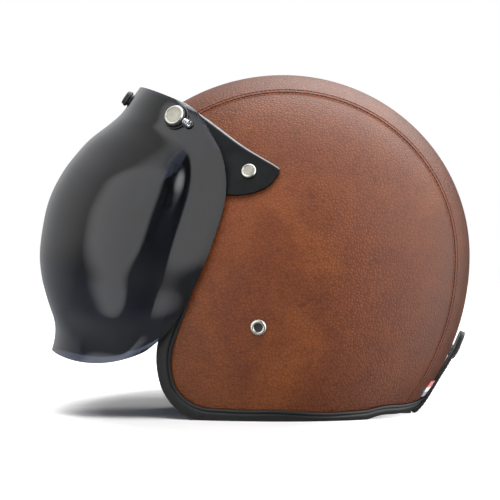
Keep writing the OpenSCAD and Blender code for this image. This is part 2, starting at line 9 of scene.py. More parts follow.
import bmesh
import bpy
import numpy as np
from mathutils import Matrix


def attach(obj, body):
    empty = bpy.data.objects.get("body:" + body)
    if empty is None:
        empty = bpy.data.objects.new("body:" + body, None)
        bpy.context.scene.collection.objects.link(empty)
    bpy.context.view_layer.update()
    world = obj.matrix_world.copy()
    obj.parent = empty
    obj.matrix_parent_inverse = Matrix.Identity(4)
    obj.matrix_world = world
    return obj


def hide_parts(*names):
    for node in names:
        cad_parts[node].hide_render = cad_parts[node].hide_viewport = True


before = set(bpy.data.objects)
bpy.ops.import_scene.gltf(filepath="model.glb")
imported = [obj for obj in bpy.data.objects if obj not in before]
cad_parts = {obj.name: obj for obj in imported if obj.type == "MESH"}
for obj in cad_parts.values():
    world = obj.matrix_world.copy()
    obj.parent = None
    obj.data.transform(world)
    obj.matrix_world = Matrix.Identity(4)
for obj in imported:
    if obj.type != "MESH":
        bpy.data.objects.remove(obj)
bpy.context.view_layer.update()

MM = 0.001
HELMET, VISOR, FLAP = "helmet", "visor", "rear_flap"

# The head form, as in the CAD: its reach from the ear point each way, and how far below the ear the front,
# back and sides would each close
HALF_W = 118.0
BROW_REACH = 143.0
NAPE_REACH = 140.0
CROWN_RISE = 135.0
EAR_Y = 21.0
EAR_Z = 118.5
NAPE_DROP = 159.0
BROW_DROP = 200.0
SIDE_DROP = 215.0
LEATHER = 1.3
COVER_IN = 32.7
PAD_IN = 33.6
POLE = np.array([0.0, math.sqrt(0.5), math.sqrt(0.5)])
EAR = np.array([1.0, 0.0, 0.0])


# ---------- small tools ----------


def unit(v):
    v = np.asarray(v, float)
    return v / np.maximum(np.linalg.norm(v, axis=-1, keepdims=True), 1e-9)


def flip(v):
    return np.asarray(v, float) * [-1, 1, 1]


def mix(a, b, t):
    return a + (b - a) * t


def ease(low, high, x):
    t = np.clip((np.asarray(x, float) - low) / (high - low), 0, 1)
    return t * t * (3 - 2 * t)


def slerp(a, b, t):
    w = np.arccos(np.clip(np.sum(a * b, -1, keepdims=True), -1, 1))
    w = np.maximum(w, 1e-6)
    return (np.sin((1 - t) * w) * a + np.sin(t * w) * b) / np.sin(w)


def spline(points, steps=24):
    """Smooth curve through all but the first and last point, which only steer it."""
    p = np.asarray(points, float)
    f = np.linspace(0, 1, steps, endpoint=False)[:, None]
    parts = []
    for k in range(1, len(p) - 2):
        a, b, c, d = p[k - 1 : k + 3]
        bend, twist = 2 * a - 5 * b + 4 * c - d, 3 * (b - c) + d - a
        parts.append(b + 0.5 * f * ((c - a) + f * (bend + f * twist)))
    return np.vstack(parts + [p[-2:-1]])


def through(points, steps):
    """Smooth curve through all of the points."""
    p = np.asarray(points, float)
    return spline(np.vstack([2 * p[0] - p[1], p, 2 * p[-1] - p[-2]]), steps)


def arc_length(p):
    """Distance along a line at each of its points."""
    return np.concatenate([[0], np.cumsum(np.linalg.norm(np.diff(p, axis=0), axis=1))])


def read_off(at, s, p):
    """Rows of p between those known at s."""
    return np.stack([np.interp(at, s, p[:, k]) for k in range(p.shape[1])], -1)


def even(points, n):
    """The same line with n equal steps."""
    p = np.asarray(points, float)
    s = arc_length(p)
    return read_off(np.linspace(0, s[-1], n + 1), s, p)


# ---------- the head form ----------


def spread(z, h, front, give=0.0):
    """Shares of the full width and length at z over the ear, and the reach; h is the round form's share."""
    drawn = np.sqrt(np.maximum(1 - (z / (SIDE_DROP - give)) ** 2, 0))
    pulled = np.sqrt(np.maximum(1 - (z / (BROW_DROP - give)) ** 2, 0))
    wide = np.where(z >= 0, h, drawn)
    long = np.where((z >= 0) | ~front, h, pulled)
    return wide, long, np.where(front, BROW_REACH, NAPE_REACH)


def skin(s, inset=0.0):
    """Point in the direction s, this far in from the leather's outside."""
    s = np.asarray(s, float)
    inset = np.asarray(inset, float)
    h = np.maximum(np.hypot(s[..., 0], s[..., 1]), 1e-4)
    give = 0.5 * inset
    z = s[..., 2] * np.where(s[..., 2] >= 0, CROWN_RISE - inset, NAPE_DROP - give)
    wide, long, reach = spread(z, h, s[..., 1] < 0, give)
    x = (HALF_W - inset) * wide * s[..., 0] / h
    y = EAR_Y + (reach - inset) * long * s[..., 1] / h
    return np.stack([x, y, EAR_Z + z], -1)


def aim(p):
    """Direction of the outside point seen at [y, z] from the left, from the ear."""
    y, z = p
    sz = z / (CROWN_RISE if z >= 0 else NAPE_DROP)
    h = math.sqrt(1 - sz * sz)
    _, long, reach = spread(z, h, np.array(y < 0))
    sy = y * h / (reach * long)
    return np.array([math.sqrt(max(h * h - sy * sy, 0)), sy, sz])


def middle(up):
    """Direction on the middle plane, by degrees up from straight ahead."""
    return np.array([0, -math.cos(math.radians(up)), math.sin(math.radians(up))])


def find(p):
    """Direction whose outside point is nearest to p."""
    p = np.asarray(p, float)
    z = p[..., 2] - EAR_Z
    sz = z / np.where(z >= 0, CROWN_RISE, NAPE_DROP)
    h = np.sqrt(np.maximum(1 - sz * sz, 1e-9))
    wide, long, reach = spread(z, h, p[..., 1] < EAR_Y)
    q = unit(np.stack([p[..., 0] / (HALF_W * wide), (p[..., 1] - EAR_Y) / (reach * long)], -1))
    return np.stack([h * q[..., 0], h * q[..., 1], sz], -1)


def normal_at(s):
    return unit(skin(s, -1.0) - skin(s, 1.0))


def half_line(first, points, last, n):
    """Left half of an outline that crosses the middle plane at both ends."""
    p = np.array([first, *[aim(q) for q in points], last])
    return unit(even(spline([flip(p[1]), *p, flip(p[-2])]), n))


def closed_line(half):
    return np.vstack([half, flip(half[-2:0:-1])])


def side_line(points, n):
    """Outline that lies on one side only."""
    p = np.array([aim(q) for q in points])
    return unit(even(spline([p[-1], *p, p[0], p[1]]), n))[:-1]


# ---------- outlines ----------

AROUND = 240
border_half = half_line(
    middle(41.4),
    [(-99, 84.5), (-85, 71.5), (-70.5, 51), (-66, 28.5), (-69.5, 3.5), (-78, -24.5), (-87, -49.5),
     (-91.4, -66), (-91.5, -82), (-87, -98.5), (-75.5, -112.5), (-59.5, -120.2), (-38, -121.8), (0, -121.8),
     (34, -121.5), (56, -119.2), (76, -115.8)],
    middle(225.3),
    AROUND,
)
border = closed_line(border_half)


def inside(mm):
    """The border moved in by a distance along the leather."""
    along = skin(np.roll(border, -1, 0)) - skin(np.roll(border, 1, 0))
    inward = unit(np.cross(normal_at(border), along))
    return find(skin(border) + inward * mm)


def lateral(e):
    return np.degrees(np.arcsin(np.clip(e[..., 0], -1, 1)))


def lengthwise(e):
    return np.degrees(np.arctan2(e[..., 2], -e[..., 1])) % 360


def at_angles(side, along):
    side, along = np.radians(side), np.radians(along)
    return np.stack([np.sin(side), -np.cos(side) * np.cos(along), np.cos(side) * np.sin(along)], -1)


leather_half = inside(6.0)[: AROUND + 1]
brow_end = leather_half[: AROUND // 5 + 1]
nape_end = leather_half[: AROUND * 4 // 5 - 1 : -1]


def along_at(side, t):
    """Lengthwise angle of a seam or strip line, t from 0 at the brow to 1 at the nape."""
    brow = np.interp(side, lateral(brow_end), lengthwise(brow_end))
    nape = np.interp(side, lateral(nape_end), lengthwise(nape_end))
    return mix(brow, nape, t)


def seam_side(t):
    x = mix(57.0, 50.0, t)
    first = np.degrees(np.arcsin(x / HALF_W))
    real = skin(at_angles(first, along_at(first, t)))[..., 0]
    return np.degrees(np.arcsin(np.sin(np.radians(first)) * x / real))


def seam_point(t, off):
    side = seam_side(t) + np.degrees(off / HALF_W)
    return at_angles(side, along_at(side, t))


# ---------- meshes ----------


def grid_faces(rows, cols, start=0, wrap=False):
    r, c = np.meshgrid(np.arange(rows - 1), np.arange(cols if wrap else cols - 1), indexing="ij")
    c2 = (c + 1) % cols
    quads = np.stack([r * cols + c, r * cols + c2, (r + 1) * cols + c2, (r + 1) * cols + c], -1)
    return (quads.reshape(-1, 4) + start).tolist()


def slab(outer, inner):
    """Solid between two point grids of one size."""
    rows, cols = outer.shape[:2]
    n = rows * cols
    ids = np.arange(n).reshape(rows, cols)
    rim = np.concatenate([ids[0, :-1], ids[:-1, -1], ids[-1, :0:-1], ids[:0:-1, 0]])
    after = np.roll(rim, -1)
    side = np.stack([rim, after, after + n, rim + n], -1).tolist()
    verts = np.vstack([outer.reshape(-1, 3), inner.reshape(-1, 3)])
    return verts, grid_faces(rows, cols) + grid_faces(rows, cols, n) + side


def fan(count, centre, start):
    return [[centre, start + j, start + (j + 1) % count] for j in range(count)]


def cap(edge, centre, outer, inner, rings):
    """Solid inside an outline; outer and inner give the inset for each ring share and direction."""
    n = len(edge)
    share = np.linspace(0, 1, rings + 1)[1:]
    dirs = np.stack([slerp(np.broadcast_to(centre, edge.shape), edge, r) for r in share])
    side = 1 + n * rings
    verts, faces = [], []
    for k, inset in enumerate((outer, inner)):
        base = k * side
        verts.append(skin(centre[None], inset(0.0, centre[None])))
        verts.append(skin(dirs, inset(share[:, None], dirs)).reshape(-1, 3))
        faces += fan(n, base, base + 1) + grid_faces(rings, n, base + 1, wrap=True)
    last = 1 + n * (rings - 1) + np.arange(n)
    after = np.roll(last, -1)
    faces += np.stack([last, after, after + side, last + side], -1).tolist()
    return np.vstack(verts), faces


def loft(sections, closed=False):
    """Solid through a row of sections."""
    sections = np.asarray(sections)
    n, m = sections.shape[:2]
    if closed:
        sections = np.concatenate([sections, sections[:1]])
        faces = [[i % (n * m) for i in q] for q in grid_faces(n + 1, m, wrap=True)]
        return sections[:n].reshape(-1, 3), faces
    ends = [list(range(m)), list(range((n - 1) * m, n * m))]
    return sections.reshape(-1, 3), grid_faces(n, m, wrap=True) + ends


def lathe(profile, segments=64):
    """Solid of revolution about Z from [r, z] points that start and end on the axis."""
    profile = np.asarray(profile, float)
    a = np.linspace(0, 2 * np.pi, segments, endpoint=False)
    body = profile[1:-1]
    rings = np.stack(
        [np.outer(body[:, 0], np.cos(a)), np.outer(body[:, 0], np.sin(a)),
         np.repeat(body[:, 1:], segments, 1)], -1)
    n = len(body) * segments
    tips = [[0, 0, profile[0, 1]], [0, 0, profile[-1, 1]]]
    verts = np.vstack([rings.reshape(-1, 3), tips])
    faces = grid_faces(len(body), segments, wrap=True)
    return verts, faces + fan(segments, n, 0) + fan(segments, n + 1, n - segments)


def circles(line, up, out, radius, sides):
    """A circle round each point of a line, in the plane of up and out."""
    a = np.linspace(0, 2 * np.pi, sides, endpoint=False)[None, :, None]
    return line[:, None] + radius * (np.cos(a) * up[:, None] + np.sin(a) * out[:, None])


def tube(line, radius, sides=10):
    """Round bar along a line, closed at both ends."""
    line = np.asarray(line, float)
    run = unit(np.gradient(line, axis=0))
    up = unit(np.cross(run, [0.31, 0.17, 0.93]))
    return loft(circles(line, up, np.cross(run, up), radius, sides))


def arc(centre, r, start, end, n):
    a = np.linspace(start, end, n)
    return np.array(centre) + r * np.column_stack([np.cos(a), np.sin(a)])


def round_box(w, t, r):
    """Outline of a flat bar, w wide and t thick, with rounded corners."""
    corners = []
    for k, (sx, sy) in enumerate(((1, 1), (-1, 1), (-1, -1), (1, -1))):
        corners.append(arc((sx * (w / 2 - r), sy * (t / 2 - r)), r, k * np.pi / 2, (k + 1) * np.pi / 2, 5))
    return np.vstack(corners)


def ribbon(line, side, w, t, tips=(0.0, 0.0)):
    """Webbing along a line, w wide along side; tips gives the length of each rounded end."""
    line = np.asarray(line, float)
    s = arc_length(line)
    thick = np.broadcast_to(t, len(line))
    width = np.full(len(line), float(w))
    for tip, away in zip(tips, (s, s[-1] - s)):
        if tip:
            width *= np.sqrt(np.clip(1 - (1 - np.minimum(away / tip, 1)) ** 2.4, 0.06, 1))
    run = unit(np.gradient(line, axis=0))
    side = np.asarray(side, float)
    up = unit(np.cross(run, side))
    sections = []
    for i in range(len(line)):
        p = round_box(width[i], thick[i], min(thick[i] * 0.42, width[i] * 0.3))
        sections.append(line[i] + p[:, :1] * side + p[:, 1:] * up[i])
    return loft(sections)


def stand(p, d, u=(0, 0, 1)):
    """Frame at p with its Z along d and its Y near u."""
    z = unit(d)
    x = unit(np.cross(u, z))
    return np.array([x, np.cross(z, x), z]), np.asarray(p, float)


def placed(part, place):
    (verts, faces), (axes, p) = part, place
    return verts @ axes + p, faces


def as_is(part):
    return part


def mirrored(part):
    return flip(part[0]), part[1]


SIDES = ("left", as_is), ("right", mirrored)


def joined(parts):
    verts, faces, n = [], [], 0
    for v, f in parts:
        verts.append(v)
        faces += [[i + n for i in q] for q in f]
        n += len(v)
    return np.vstack(verts), faces


def at_each(part, places):
    return joined([placed(part, p) for p in places])


def round_edges(obj, width, segments, angle):
    edge = obj.modifiers.new("edge", "BEVEL")
    edge.width = width * MM
    edge.segments = segments
    edge.limit_method = "ANGLE"
    edge.angle_limit = math.radians(angle)


def piece(name, part, mat, body=HELMET, nodes=(), bevel=0.0, sharp=42):
    """Makes the mesh, rides it on its body and hides the CAD nodes it stands for."""
    verts, faces = part
    mesh = bpy.data.meshes.new(name)
    mesh.from_pydata((verts * MM).tolist(), [], faces)
    bm = bmesh.new()
    bm.from_mesh(mesh)
    bmesh.ops.recalc_face_normals(bm, faces=bm.faces)
    bm.to_mesh(mesh)
    bm.free()
    mesh.shade_smooth()
    mesh.set_sharp_from_angle(angle=math.radians(sharp))
    mesh.materials.append(mat)
    obj = bpy.data.objects.new(name, mesh)
    bpy.context.scene.collection.objects.link(obj)
    if bevel:
        round_edges(obj, bevel, 3, 38)
    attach(obj, body)
    if nodes:
        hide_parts(*nodes)
    return obj


def thread(points, normals, pitch, length, radius):
    """A row of stitches along a line."""
    s = arc_length(points)
    count = int(s[-1] // pitch)
    at = (np.arange(count) + 0.5) * s[-1] / count
    up = unit(read_off(at, s, normals))
    run = unit(read_off(at, s, np.gradient(points, s, axis=0)))
    bead = lathe([[0, -length / 2], [radius * 0.75, -length * 0.42], [radius, -length * 0.2],
                  [radius, length * 0.2], [radius * 0.75, length * 0.42], [0, length / 2]], 8)
    return joined([placed(bead, stand(p, d, n)) for p, d, n in zip(read_off(at, s, points), run, up)])


def mark(obj, name, values):
    """Stores a number or a vector at each vertex, for a material to read."""
    values = np.asarray(values, np.float32)
    kind, key = ("FLOAT_VECTOR", "vector") if values.ndim > 1 else ("FLOAT", "value")
    obj.data.attributes.new(name, kind, "POINT").data.foreach_set(key, values.ravel())


# ---------- materials ----------


def srgb(r, g, b):
    """Linear colour from the 0 to 255 values of a screen colour."""
    c = np.array([r, g, b]) / 255
    return [*np.where(c <= 0.04045, c / 12.92, ((c + 0.055) / 1.055) ** 2.4), 1.0]


def shade(colour, times, plus=0.0):
    """A darker or lighter version of a linear colour."""
    return [min(c * times + plus, 1) for c in colour[:3]] + [1]


class Tree:
    """The nodes of a material or a world. A value is a number, a colour or another node's socket."""

    def __init__(self, owner):
        owner.use_nodes = True
        self.tree = owner.node_tree

    def set(self, node, values):
        for key, value in values.items():
            if isinstance(value, bpy.types.NodeSocket):
                self.tree.links.new(value, node.inputs[key])
            else:
                node.inputs[key].default_value = value

    def node(self, kind, props=None, values=None):
        n = self.tree.nodes.new("ShaderNode" + kind)
        for key, value in (props or {}).items():
            setattr(n, key, value)
        self.set(n, values or {})
        return n

    def math(self, operation, a, b=0.5):
        return self.node("Math", {"operation": operation}, {0: a, 1: b}).outputs[0]


class Finish(Tree):
    """A Principled material whose colour, roughness and bump come from nodes."""

    def __init__(self, name, colour, rough, **fixed):
        self.mat = bpy.data.materials.new(name)
        super().__init__(self.mat)
        self.shader = self.tree.nodes["Principled BSDF"]
        self.set(self.shader, {"Base Color": colour, "Roughness": rough})
        self.set(self.shader, {k.replace("_", " "): v for k, v in fixed.items()})
        self.place = self.node("TexCoord").outputs["Object"]

    def noise(self, scale, detail=3.0, rough=0.55, twist=0.0):
        values = {"Vector": self.place, "Scale": scale, "Detail": detail,
                  "Roughness": rough, "Distortion": twist}
        return self.node("TexNoise", None, values).outputs["Fac"]

    def cells(self, scale, feature="F1", at=None, random=1.0):
        values = {"Vector": at or self.place, "Scale": scale, "Randomness": random}
        return self.node("TexVoronoi", {"feature": feature}, values).outputs["Distance"]

    def warped(self, scale, amount):
        """Coordinates pushed about by a noise, so that cells don't look drawn."""
        n = self.node("TexNoise", None, {"Vector": self.place, "Scale": scale, "Detail": 2.0})
        part = self.node("VectorMath", {"operation": "SCALE"}, {0: n.outputs["Color"]})
        part.inputs["Scale"].default_value = amount
        return self.node("VectorMath", {"operation": "ADD"}, {0: self.place, 1: part.outputs[0]}).outputs[0]

    def strap(self):
        """The strap attribute: how far across and along the webbing."""
        run = self.node("Attribute", {"attribute_name": "strap"}).outputs["Vector"]
        split = self.node("SeparateXYZ", None, {0: run})
        return split.outputs["X"], split.outputs["Y"]

    def ramp(self, fac, stops):
        n = self.node("ValToRGB", None, {"Fac": fac})
        while len(n.color_ramp.elements) < len(stops):
            n.color_ramp.elements.new(0.5)
        for element, (at, colour) in zip(n.color_ramp.elements, stops):
            element.position = at
            element.color = colour if hasattr(colour, "__len__") else [colour] * 3 + [1]
        return n.outputs["Color"]

    def blend(self, fac, a, b, how="MIX"):
        return self.node("MixRGB", {"blend_type": how}, {"Fac": fac, "Color1": a, "Color2": b}).outputs[0]

    def colour(self, socket):
        self.set(self.shader, {"Base Color": socket})

    def rough(self, fac, low, high):
        n = self.node("MapRange", None, {"Value": fac, "To Min": low, "To Max": high})
        self.set(self.shader, {"Roughness": n.outputs[0]})

    def bump(self, height, mm, strength=1.0):
        """Bump by a height that runs from 0 to 1, mm high. A second call lies on the first."""
        n = self.node("Bump", None, {"Height": height, "Distance": mm * MM, "Strength": strength})
        under = self.shader.inputs["Normal"].links
        if under:
            self.tree.links.new(under[0].from_socket, n.inputs["Normal"])
        self.set(self.shader, {"Normal": n.outputs[0]})


def leather_finish(name, dark, middle_tone, light):
    """Pull-up leather: cloudy colour, paler worn pebbles and dark creases between them."""
    f = Finish(name, middle_tone, 0.5, Specular_IOR_Level=0.3)
    cloud = f.noise(17, 4, 0.6, 0.6)
    base = f.ramp(cloud, [(0.25, dark), (0.5, middle_tone), (0.75, light)])
    patch = f.noise(60, 3, 0.5, 0.3)
    base = f.blend(f.ramp(patch, [(0.42, 0.0), (0.75, 0.3)]), base, light)
    at = f.warped(300, 0.0012)
    pebble = f.cells(PEBBLES, at=at)
    crease = f.cells(PEBBLES, "DISTANCE_TO_EDGE", at=at)
    base = f.blend(f.ramp(crease, [(0.0, 0.45), (0.14, 0.0)]), base, dark, "MULTIPLY")
    base = f.blend(f.ramp(pebble, [(0.0, 0.3), (0.4, 0.0)]), base, light)
    f.colour(base)
    f.rough(f.noise(240, 2), 0.34, 0.46)
    f.bump(f.ramp(crease, [(0.0, 0.0), (0.25, 1.0)]), 0.17, 0.8)
    f.bump(pebble, -0.13, 0.5)
    f.bump(f.noise(2600, 2), 0.03, 0.5)
    return f.mat


PEBBLES = 430  # to the metre
leather = leather_finish("brown_leather", srgb(80, 35, 11), srgb(88, 41, 13), srgb(108, 56, 18))
# Lighter copy of the leather for the raised seam fold: painted highlight where the fold catches the light.
leather_fold_painted_highlight = leather_finish("leather_fold_painted_highlight", srgb(84, 40, 19), srgb(96, 47, 23), srgb(112, 58, 30))


def plastic_finish(name, colour, rough, grain_mm=0.02, **fixed):
    """Fine-grained plastic or rubber with faint smudges."""
    f = Finish(name, colour, rough, **fixed)
    smudge = f.noise(55, 4, 0.6)
    f.colour(f.blend(f.ramp(smudge, [(0.35, 0.0), (0.75, 0.5)]), colour, shade(colour, 1.9, 0.004)))
    f.rough(smudge, rough - 0.06, rough + 0.08)
    f.bump(f.noise(1400, 3), grain_mm, 0.6)
    return f


rubber = plastic_finish("trim_rubber", srgb(18, 19, 20), 0.42, 0.02, Specular_IOR_Level=0.35).mat
rubber_inner = plastic_finish("inner_rubber", srgb(26, 26, 28), 0.6, 0.03).mat


def base_finish():
    """Black plastic, with a painted highlight that lightens it along the band's upper edge."""
    f = plastic_finish("visor_base_black", srgb(10, 11, 12), 0.34, 0.012, Specular_IOR_Level=0.12)
    painted_edge_highlight = f.node("Attribute", {"attribute_name": "painted_edge_highlight"}).outputs["Fac"]
    plain = f.shader.inputs["Base Color"].links[0].from_socket
    # Painted highlight: the band's upper chamfer is mixed towards pale grey.
    f.colour(f.blend(f.math("MULTIPLY", painted_edge_highlight, 0.85), plain, srgb(150, 153, 158)))
    return f.mat


base_black = base_finish()
hard_black = plastic_finish("moulded_black", srgb(24, 24, 26), 0.42, 0.03).mat
shell_black = plastic_finish("shell_black", srgb(30, 30, 32), 0.6, 0.05).mat
lever_red = plastic_finish("lever_red", srgb(150, 26, 24), 0.38, 0.02, Coat_Weight=0.3,
                           Coat_Roughness=0.12).mat


def metal_finish(name, colour, low, high, grain_mm=0.0):
    """Metal with a little tarnish, between two roughnesses; cast metal has a grain."""
    f = Finish(name, colour, low, Metallic=1.0)
    f.colour(f.ramp(f.noise(260, 4, 0.6), [(0.25, shade(colour, 0.72)), (0.6, colour)]))
    f.rough(f.noise(700, 3), low, high)
    if grain_mm:
        f.bump(f.noise(1500, 4), grain_mm, 0.7)
    return f.mat


nickel = metal_finish("satin_nickel", srgb(214, 211, 202), 0.2, 0.34)
nickel_face = metal_finish("cast_nickel", srgb(182, 179, 168), 0.42, 0.58, 0.05)
steel = metal_finish("bright_steel", srgb(224, 225, 226), 0.12, 0.24)


def smoke_finish():
    """Clear smoke-tinted polycarbonate with a thin hard coat."""
    f = Finish("smoke_polycarbonate", srgb(54, 58, 70), 0.02, IOR=1.52, Transmission_Weight=1.0,
               Coat_Weight=0.15, Coat_Roughness=0.08, Coat_IOR=1.5)
    haze = f.noise(14, 3, 0.5, 0.8)
    f.colour(f.ramp(haze, [(0.3, srgb(50, 54, 68)), (0.7, srgb(59, 65, 81))]))
    f.rough(f.noise(40, 3), 0.015, 0.05)
    return f.mat


smoke = smoke_finish()


def woven_finish(name, colour, across, along, rough=0.75, lift=0.16):
    """Webbing: a twill of threads that run with the strap, from the strap attribute."""
    f = Finish(name, colour, rough, Sheen_Weight=0.35, Sheen_Roughness=0.5, Specular_IOR_Level=0.3)
    warp, weft = (f.math("SINE", f.math("MULTIPLY", run, 2 * math.pi / (pitch * MM)))
                  for run, pitch in zip(f.strap(), (across, along)))
    cross = f.math("ADD", f.math("MULTIPLY", f.math("MULTIPLY", warp, weft), 0.5), 0.5)
    fuzz = f.noise(900, 3)
    tone = f.math("ADD", f.math("MULTIPLY", cross, 0.7), f.math("MULTIPLY", fuzz, 0.3))
    f.colour(f.ramp(tone, [(0.2, shade(colour, 0.55)), (0.5, colour), (0.85, shade(colour, 1.7, 0.003))]))
    f.rough(fuzz, rough - 0.08, rough + 0.12)
    f.bump(cross, lift, 0.8)
    f.bump(fuzz, 0.04, 0.5)
    return f.mat


webbing = woven_finish("strap_webbing", srgb(30, 30, 33), 1.6, 2.0)
goggle_web = woven_finish("rear_strap_web", srgb(26, 26, 28), 1.1, 1.4, 0.6, 0.08)


def knit_finish(name, colour, scale, lift):
    """Soft looped cloth, scale loops to the metre."""
    f = Finish(name, colour, 0.85, Sheen_Weight=0.4, Sheen_Roughness=0.6, Specular_IOR_Level=0.2)
    loops = f.cells(scale, random=0.35)
    fuzz = f.noise(scale * 2.2, 3)
    tone = f.math("ADD", f.math("MULTIPLY", loops, 0.6), f.math("MULTIPLY", fuzz, 0.4))
    f.colour(f.ramp(tone, [(0.15, shade(colour, 1.7, 0.004)), (0.6, shade(colour, 0.6))]))
    f.bump(loops, -lift, 0.8)
    f.bump(f.noise(130, 2), 0.25, 0.35)
    return f.mat


knit = knit_finish("lining_knit", srgb(46, 46, 50), 620, 0.25)
suede = knit_finish("lining_suede", srgb(60, 60, 64), 1500, 0.08)
thread_brown = plastic_finish("thread_brown", srgb(26, 12, 8), 0.8, 0.05, Specular_IOR_Level=0.1).mat
thread_grey = knit_finish("thread_grey", srgb(84, 84, 88), 2400, 0.05)


def tag_finish():
    """Ribbed cloth in three plain bands, from the strap attribute as shares of the tag."""
    f = Finish("woven_tag", srgb(200, 60, 50), 0.8, Sheen_Weight=0.3)
    _, up = f.strap()
    red, white, blue = srgb(206, 84, 78), srgb(232, 232, 234), srgb(112, 124, 160)
    bands = f.ramp(up, [(0.0, blue), (0.3, white), (0.62, red)])
    bands.node.color_ramp.interpolation = "CONSTANT"
    rows = f.math("SINE", f.math("MULTIPLY", up, 120.0))
    f.colour(f.blend(f.math("MULTIPLY", f.math("ADD", rows, 1.0), 0.1), bands, srgb(40, 40, 50)))
    f.bump(rows, 0.06, 0.7)
    return f.mat


tag_cloth = tag_finish()


# ---------- leather skin, seams and edge trim ----------

RUN = np.linspace(0, 1, 260)


def side_panel():
    """Leather from the seam down to its lower edge, which starts where the seam ends."""
    seam = seam_point(RUN[::-1], 0.3)
    half = np.arange(AROUND + 1) < AROUND / 2
    past = np.where(half, lateral(seam[-1]), lateral(seam[0])) + 0.15
    low = skin(leather_half[lateral(leather_half) > past])
    edge = np.vstack([seam, find(even(low, 300))])
    return cap(edge, EAR, lambda r, d: 0.0, lambda r, d: LEATHER, 64)


def centre_panel():
    t = RUN[:, None]
    side = np.linspace(-1, 1, 61)[None] * (seam_side(RUN)[:, None] + 0.1)
    s = at_angles(side, along_at(np.abs(side), t))
    return slab(skin(s), skin(s, LEATHER))


# Lapped seam in section: [distance from its middle, height], the low side first
FOLD = np.array([
    (-3.8, -0.4), (-3.5, 0.15), (-3.0, 0.5), (-2.5, 0.5), (-2.0, 0.25), (-1.7, 0.0), (-1.4, 0.3),
    (-1.1, 0.65), (-0.5, 0.88), (0, 0.92), (0.5, 0.88), (1.1, 0.65), (1.4, 0.3), (1.7, 0.0),
    (2.0, 0.3), (2.5, 0.7), (3.1, 0.85), (3.7, 0.7), (4.2, 0.2), (4.5, -0.4)])
STITCH = 3.0  # from one stitch to the next
ROW = 1.7  # from the seam's middle to each row
seam_t = np.linspace(0.006, 0.994, 700)
seam_run = arc_length(skin(seam_point(seam_t, 0.0)))


def seam_fold():
    """The lap swells between its stitches and is pulled in at each one."""
    s = seam_point(seam_t[:, None], -FOLD[None, :, 0])
    pull = 0.5 + 0.5 * np.cos(2 * np.pi * seam_run / STITCH)[:, None]
    height = FOLD[None, :, 1] * (1 - 0.16 * pull)
    return slab(skin(s, -height), skin(s, 0.5 + 0 * height))


def seam_threads():
    rows = []
    for off in (ROW, -ROW):
        s = seam_point(seam_t, off)
        rows.append(thread(skin(s, -0.35), normal_at(s), STITCH, 2.7, 0.42))
    return joined(rows)


for side, turn in SIDES:
    piece(f"leather_panel_{side}", turn(side_panel()), leather, nodes=[f"leather_side_{side}"])
    # The fold wears the lighter leather copy, a painted highlight.
    piece(f"seam_fold_{side}", turn(seam_fold()), leather_fold_painted_highlight,
          nodes=[f"seam_welt_{side}"], sharp=80)
    piece(f"seam_thread_{side}", turn(seam_threads()), thread_brown)
piece("leather_panel_center", centre_panel(), leather, nodes=["leather_center_strip"])

# The rubber channel in section: [distance in from the border, inset]
TRIM = [
    (3, -0.7), (3, 9.0), (11, 9.7), (11.3, 10.3), (11, 10.9), (2.2, 10.9), (1.1, 10.5), (0.4, 9.4),
    (0.08, 7.0), (0, 2.5), (0.05, 0.6), (0.35, -0.9), (0.95, -1.7), (1.8, -2.12), (3, -2.2)]
# and its bead along the leather: [distance from the lip's edge, inset]
BEAD = [
    (-4.1, -2.2), (-3.4, -2.0), (-3.0, -1.35), (-2.7, -1.1), (-2.4, -1.35), (-1.9, -2.05), (-1.2, -2.25),
    (-0.55, -1.95), (-0.1, -1.4), (0, -0.9), (-0.1, -0.7)]
# The lip is wide round the face and narrow at the nape
LIP_FACE, LIP_NAPE = 13.5, 8.2
lip = mix(LIP_FACE, LIP_NAPE, np.clip((border[:, 1:2] + 0.05) / 0.55, 0, 1))


def edge_trim():
    section = [(np.full_like(lip, d), inset) for d, inset in TRIM] + [(lip + d, inset) for d, inset in BEAD]
    rings = np.stack([skin(inside(d), inset) for d, inset in section], 1)
    rings[..., 2] = np.maximum(rings[..., 2], 0)
    return loft(rings, closed=True)


piece("rubber_edge_trim", edge_trim(), rubber, nodes=["edge_trim"], sharp=50)

# ---------- liner ----------

shell_edge = inside(3.6)


def liner_cover():
    """Foam-backed cloth over the impact foam and round its rim, down to the trim."""
    rows = [(slerp(POLE, shell_edge, 0.9 * k / 40), COVER_IN) for k in range(1, 41)]
    for share, inset in ((0.908, 32.4), (0.916, 31.4), (0.921, 29.6), (0.923, 27), (0.924, 22)):
        rows.append((slerp(POLE, shell_edge, share), inset))
    rows += [(inside(15.5), 17.0), (inside(12.5), 12.5), (inside(10.5), 9.9)]
    grid = np.stack([skin(s, inset) for s, inset in rows])
    n = len(border)
    verts = np.vstack([grid.reshape(-1, 3), skin(POLE, COVER_IN)])
    return verts, grid_faces(len(rows), n, wrap=True) + fan(n, len(verts) - 1, 0)


cover = piece("liner_cover", liner_cover(), suede, nodes=["impact_liner"], sharp=80)
cloth = cover.modifiers.new("cloth", "SOLIDIFY")
cloth.thickness = 0.9 * MM
cloth.offset = 0


PAD_EDGE = 2.0
PIPING_R = 1.5
PIPING_UP = 2.4


def crowned(thick, quilt):
    """Inset of a pad's face: thin at its edge, full soon after, less the sewn channels."""
    def inset(r, d):
        rise = np.sqrt(np.clip(1 - np.asarray(r, float) ** 4.5, 0, 1))
        return PAD_IN + PAD_EDGE + (thick - PAD_EDGE) * rise - quilt(r, d)
    return inset


def groove(x, wide):
    return np.exp(-((x / wide) ** 2))


def crown_quilt(r, d):
    """Sewn channels from front to back."""
    inner = 1 - ease(0.86, 0.98, r)
    return inner * sum(2.1 * groove(np.abs(lateral(d)) - at, 1.3) for at in (11, 27, 43))


